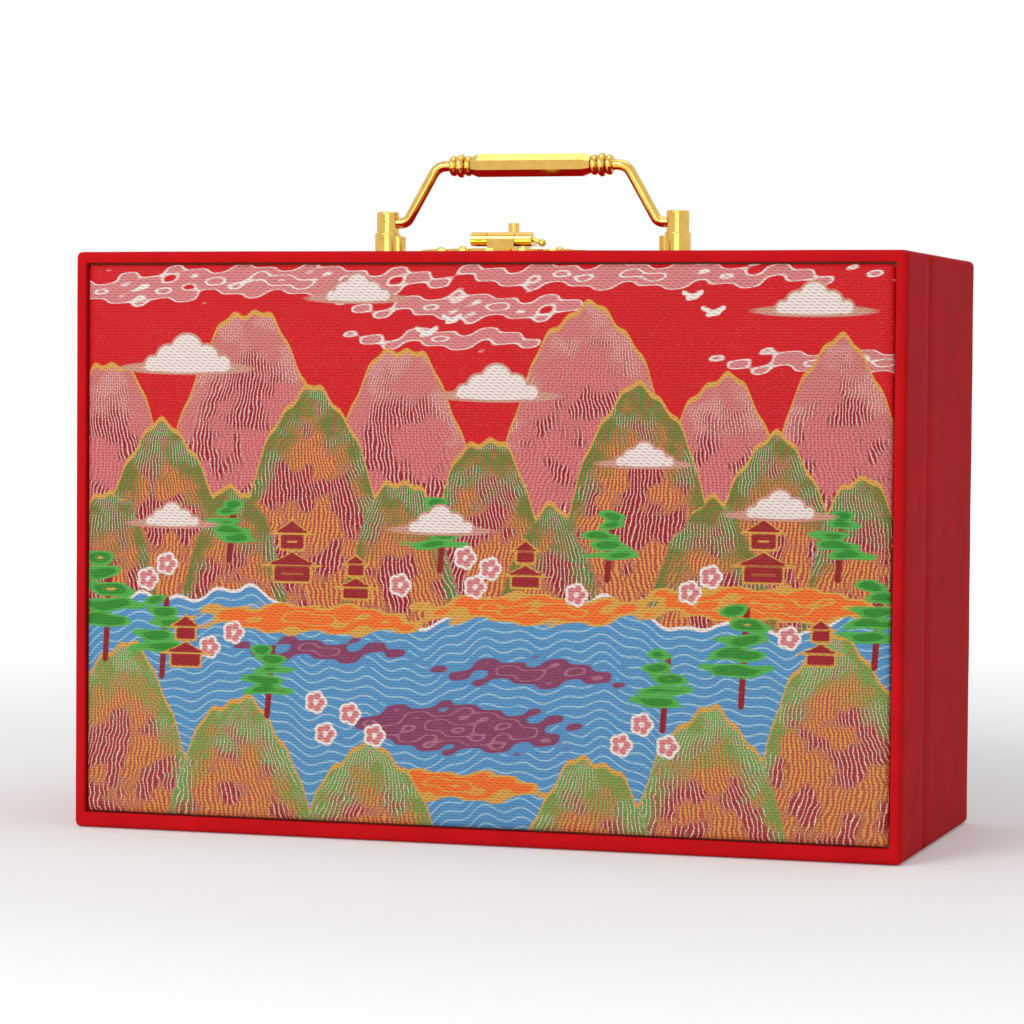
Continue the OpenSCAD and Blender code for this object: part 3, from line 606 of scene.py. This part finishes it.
def soft_panel(node, body, slot):
    """A slab with rounded edges and slight waves, in the box of one CAD panel."""
    near, far = (np.array(v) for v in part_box(node))
    size = far - near
    thin = int(np.argmin(size))
    u, v = [i for i in range(3) if i != thin]
    half = size[thin] / 2
    gu, gv = np.meshgrid(panel_places(size[u], half), panel_places(size[v], half))
    inset = np.minimum(np.minimum(gu, size[u] - gu), np.minimum(gv, size[v] - gv))
    rim = np.sqrt(np.maximum(0, 1 - (1 - np.clip(inset / half, 0, 1)) ** 2))
    wave = (1 + np.sin(gu * 90 + gv * 37)) * np.clip(inset / PANEL_WAVE_START, 0, 1)
    verts = []
    for side in (-1, 1):
        points = np.zeros(gu.shape + (3,))
        points[..., u] = near[u] + gu
        points[..., v] = near[v] + gv
        points[..., thin] = near[thin] + half + side * half * rim * (1 - PANEL_WAVE * wave)
        verts.append(points.reshape(-1, 3))
    quads = grid_faces(*gu.shape)
    faces = quads[:, ::-1].tolist() + (quads + gu.size).tolist()
    obj = new_piece("soft_" + node, np.concatenate(verts), faces, slot, body, node)
    weld_rim(obj.data)


def soft_panels():
    for body, nodes in SOFT_PANELS.items():
        for node in nodes:
            soft_panel(node, body, "panel" if node.endswith("panel") else "satin")


# Distance fields of the woven design, in millimetres: above 0 inside a motif
def union(shapes):
    return np.max(np.array(shapes), axis=0)


def disc(x, z, cx, cz, rx, rz):
    return (1 - np.hypot((x - cx) / rx, (z - cz) / rz)) * min(rx, rz)


def bar(x, z, x0, z0, x1, z1, half):
    along = ((x - x0) * (x1 - x0) + (z - z0) * (z1 - z0)) / ((x1 - x0) ** 2 + (z1 - z0) ** 2)
    t = np.clip(along, 0, 1)
    return half - np.hypot(x - x0 - t * (x1 - x0), z - z0 - t * (z1 - z0))


def flat_patches(x, z, places):
    return union([disc(x, z, *place) for place in places])


def dome(x, z, cx, top, foot, width):
    """Field and folds of one hill: a blunt uneven dome whose folds fan out from its top."""
    u = np.abs(x - cx) / width
    uneven = 1.6 * np.sin(x * 0.31 + cx) + 0.9 * np.sin(x * 0.83 + top)
    ridge = foot + (top - foot) * np.clip(1 - u ** 2.1, -1, 1) + uneven
    field = np.minimum((ridge - z) * 0.62, (width - np.abs(x - cx)) * 1.2)
    fan = 0.30 + 0.70 * np.clip((top - z) / (top - foot), 0, 1) ** 0.6
    folds = (x - cx) / fan + 2.5 * np.sin(z * 0.12 + cx) + FOLD_START
    return field, folds


def hill_row(x, z, hills, foot):
    """A row of overlapping hills, the later ones in front."""
    field = np.full_like(x, OUTSIDE)
    folds = np.full_like(x, FOLD_START)
    for cx, top, width in hills:
        own, own_folds = dome(x, z, cx, top, foot, width)
        folds = np.where(own > 0, own_folds, folds)
        field = np.where(own > 0, own, np.maximum(field, own))
    return field, folds


def cloud(x, z, cx, cz, size):
    """Five round lobes over a flat tail, all in shares of the cloud's size."""
    lobes = [(0, 0.25, 0.62), (-0.7, 0, 0.48), (0.72, 0, 0.5), (-1.3, -0.22, 0.3), (1.35, -0.2, 0.32)]
    shapes = [disc(x, z, cx + a * size, cz + b * size, r * size, r * size) for a, b, r in lobes]
    shapes.append(disc(x, z, cx, cz - 0.35 * size, 2.1 * size, 0.2 * size))
    return union(shapes)


def pine(x, z, cx, foot, tall):
    """Flat needle pads of a pine, wider towards its foot, in shares of its height."""
    pads = []
    for i in range(PINE_TIERS):
        lean = math.sin(cx + i * 1.7) * tall * 0.09
        wide = tall * (0.32 - 0.045 * i)
        pads.append(disc(x, z, cx + lean, foot + tall * (0.38 + 0.155 * i), wide, tall * 0.062))
    return union(pads)


def hall(x, z, cx, foot, width):
    """A plain two-storey hall with sloping eaves, in shares of its width."""
    shapes = []
    off_middle = np.abs(x - cx)
    for level, share in ((0, 1.0), (1, 0.66)):
        base = foot + level * width * 0.52
        eave = base + width * 0.26
        walls = np.minimum(width * 0.32 * share - off_middle, np.minimum(z - base, eave - z))
        rise = (z - eave) / (width * 0.26)
        slope = width * 0.55 * share * np.clip(1 - rise, 0, 2) ** 1.6
        roof = np.minimum(slope - off_middle, np.minimum(z - eave, eave + width * 0.24 - z))
        shapes += [walls, roof]
    return union(shapes)


def bird(x, z, cx, cz, size):
    """Two raised wings and a body."""
    return union([
        bar(x, z, cx, cz, cx - size, cz + size * 0.45, WING_HALF),
        bar(x, z, cx, cz, cx + size, cz + size * 0.5, WING_HALF),
        bar(x, z, cx - size * 0.5, cz - size * 0.15, cx + size * 0.5, cz + size * 0.05, BODY_HALF),
    ])


def flower(x, z, cx, cz):
    turns = np.linspace(0, 2 * math.pi, PETALS + 1)[:-1]
    return union([disc(x, z, cx + PETAL_REACH * math.cos(a), cz + PETAL_REACH * math.sin(a), PETAL_R, PETAL_R)
                  for a in turns])


def trunk(x, z, cx, foot, tall):
    return bar(x, z, cx, foot, cx + TRUNK_LEAN, foot + tall, TRUNK_HALF)


def design(x, z):
    """Every field of the woven design at the given points, by name."""
    shore = SHORE + 5 * np.sin(x * 0.045) + 2.5 * np.sin(x * 0.13 + 1) + 1.2 * np.sin(x * 0.4)
    shake = 1.8 * np.sin(x * 0.21 + z * 0.6) + 1.2 * np.sin(x * 0.47 - z * 0.9)
    waves = (shore - z) + 0.9 * np.abs(np.sin(x * 0.2 + z * 0.11))
    fields = {
        "mist": flat_patches(x, z, MISTS) + shake * 0.7,
        "water": waves * 0.9,
        "deeps": flat_patches(x, z, DEEPS) + shake * 0.8,
        "bars": flat_patches(x, z, BARS) + shake * 0.5,
        "trunks": union([trunk(x, z, *place) for place in PINES]),
        "pines": union([pine(x, z, *place) for place in PINES]) + shake * 0.25,
        "blossom": union([flower(x, z, *place) for place in BLOSSOM]),
        "halls": union([hall(x, z, *place) for place in HALLS]),
        "clouds": union([cloud(x, z, *place) for place in CLOUDS]),
        "birds": union([bird(x, z, *place) for place in BIRDS]),
    }
    for row, hills, foot in HILL_ROWS:
        fields[row + "_hills"], fields[row + "_folds"] = hill_row(x, z, hills, foot)
    return fields


# Brocade pad: a crowned panel, pulled in slightly near its edges
def pad_places(length):
    """Places across the pad: close together at the rounded edges, about 1 mm apart between them."""
    start, end = PAD_INNER_START, length - PAD_INNER_START
    inner = list(np.linspace(start, end, int(end - start)))
    return np.array(PAD_EDGE_PLACES + inner + [length - e for e in PAD_EDGE_PLACES[::-1]])


def pad_outline(gx, gz):
    """Moves a square grid's points so that its corners are round, and gives their inset."""
    ex = np.minimum(gx, PAD_W - gx)
    ez = np.minimum(gz, PAD_H - gz)
    corner = (ex < PAD_CORNER) & (ez < PAD_CORNER)
    a, b = PAD_CORNER - ex, PAD_CORNER - ez
    reach = np.maximum(np.hypot(a, b), 1e-9)
    squeeze = np.where(corner, np.maximum(a, b) / reach, 1.0)
    ex = np.where(corner, PAD_CORNER - a * squeeze, ex)
    ez = np.where(corner, PAD_CORNER - b * squeeze, ez)
    from_corner = PAD_CORNER - np.hypot(PAD_CORNER - ex, PAD_CORNER - ez)
    inset = np.where(corner, from_corner, np.minimum(ex, ez))
    x = np.where(gx < PAD_W / 2, ex, PAD_W - ex)
    z = np.where(gz < PAD_H / 2, ez, PAD_H - ez)
    return x, z, inset


def pad_height(x, z, inset):
    """Height over the pad's back: a short side, a rounded edge, a low crown and the pull."""
    round_share = np.clip(inset / PAD_ROUND, 0, 1)
    crown_share = np.clip((inset - PAD_ROUND) / PAD_CROWN_W, 0, 1)
    rise = (PAD_T - PAD_SIDE - PAD_CROWN) * np.sqrt(1 - (1 - round_share) ** 2)
    crown = PAD_CROWN * (1 - (1 - crown_share) ** 2)
    height = np.where(inset <= 1e-6, 0, PAD_SIDE + rise + crown)
    near_edge = np.exp(-((inset - PAD_PULL_AT) / PAD_PULL_W) ** 2)
    pull = PAD_PULL * (1 + np.sin(x * 0.19 + z * 0.05)) * near_edge
    return np.maximum(height - pull * (inset > 1), 0)


def brocade_panel():
    gx, gz = np.meshgrid(pad_places(PAD_W), pad_places(PAD_H))
    x, z, inset = pad_outline(gx, gz)
    height = pad_height(x, z, inset)
    place = [pad_low.x + x * MM, pad_high.y - height * MM, pad_low.z + z * MM]
    verts = np.stack(place, axis=-1).reshape(-1, 3)
    faces = grid_faces(*gx.shape).tolist()
    pad = new_piece("brocade_front", verts, faces, "brocade", "lid", "brocade_pad")
    for name, field in design(x.ravel() - PAD_W / 2, z.ravel()).items():
        layer = pad.data.attributes.new(name, "FLOAT", "POINT")
        layer.data.foreach_set("value", field.astype(np.float32))


# Camera and studio
def add_camera():
    yaw, pitch, roll = (math.radians(v) for v in (CAMERA_YAW, CAMERA_PITCH, CAMERA_ROLL))
    data = bpy.data.cameras.new("camera")
    data.sensor_width = SENSOR
    data.lens = FOCAL_PIXELS / IMAGE_PIXELS * SENSOR
    data.clip_end = CLIP_END
    camera = bpy.data.objects.new("camera", data)
    turn = Matrix.Rotation(yaw, 4, "Z") @ Matrix.Rotation(math.pi / 2 + pitch, 4, "X")
    camera.matrix_world = Matrix.Translation(CAMERA_AT) @ turn @ Matrix.Rotation(roll, 4, "Z")
    bpy.context.scene.collection.objects.link(camera)
    bpy.context.scene.camera = camera


def add_lamp(name, place, size, power):
    data = bpy.data.lights.new(name, "AREA")
    data.size = size
    data.energy = power
    lamp = bpy.data.objects.new(name, data)
    lamp.location = place
    lamp.rotation_euler = (Vector(LAMP_AIM) - Vector(place)).to_track_quat("-Z", "Y").to_euler()
    bpy.context.scene.collection.objects.link(lamp)


def shown_rays(tree):
    """1 for camera, glossy and transmission rays, which see the backdrop itself."""
    path = tree.nodes.new("ShaderNodeLightPath")
    total = path.outputs["Is Camera Ray"]
    for name in ("Is Glossy Ray", "Is Transmission Ray"):
        larger = tree.nodes.new("ShaderNodeMath")
        larger.operation = "MAXIMUM"
        tree.links.new(total, larger.inputs[0])
        tree.links.new(path.outputs[name], larger.inputs[1])
        total = larger.outputs[0]
    return total


def add_floor():
    """A pale floor with a painted glow, seen by camera and glossy rays only, which grows away from the box so
    that the floor fades to the backdrop's white.
    """
    bpy.ops.mesh.primitive_plane_add(size=FLOOR_SIZE, location=(0, 0, FLOOR_Z))
    floor = bpy.context.object
    floor.name = "pale_floor"
    p = Paint("pale_floor")
    away = p.add("ShaderNodeVectorMath", operation="LENGTH")
    p.feed(away.inputs[0], p.place())
    far_share = p.ramp(away.outputs["Value"], FLOOR_PAINTED_GLOW_START, FLOOR_PAINTED_GLOW_END)
    # Painted light: a glow that is weak near the box, where its shadow falls, and stronger farther out, where
    # the lamps fall off.
    painted_glow = p.math("ADD", FLOOR_PAINTED_GLOW_NEAR, p.math("MULTIPLY", far_share, FLOOR_PAINTED_GLOW_MORE))
    floor.data.materials.append(p.set(
        Base_Color=FLOOR_COLOUR,
        Roughness=0.9,
        Specular_IOR_Level=0.1,
        Emission_Color=WHITE,
        Emission_Strength=p.math("MULTIPLY", shown_rays(p.tree), painted_glow),
    ))


def add_world():
    """Soft fill light, behind a backdrop that shows as white."""
    world = bpy.data.worlds.new("white_studio")
    world.use_nodes = True
    tree = world.node_tree
    strength = tree.nodes.new("ShaderNodeMapRange")
    tree.links.new(shown_rays(tree), strength.inputs["Value"])
    strength.inputs["To Min"].default_value = FILL_LIGHT
    strength.inputs["To Max"].default_value = 1.0
    tree.nodes["Background"].inputs["Color"].default_value = WHITE
    tree.links.new(strength.outputs["Result"], tree.nodes["Background"].inputs["Strength"])
    bpy.context.scene.world = world


dress_cad_nodes()
lid_cover()
case_cover()
soft_panels()
brocade_panel()
add_camera()
add_floor()
add_world()
for lamp in LAMPS:
    add_lamp(*lamp)
bpy.context.scene.view_settings.view_transform = "Standard"
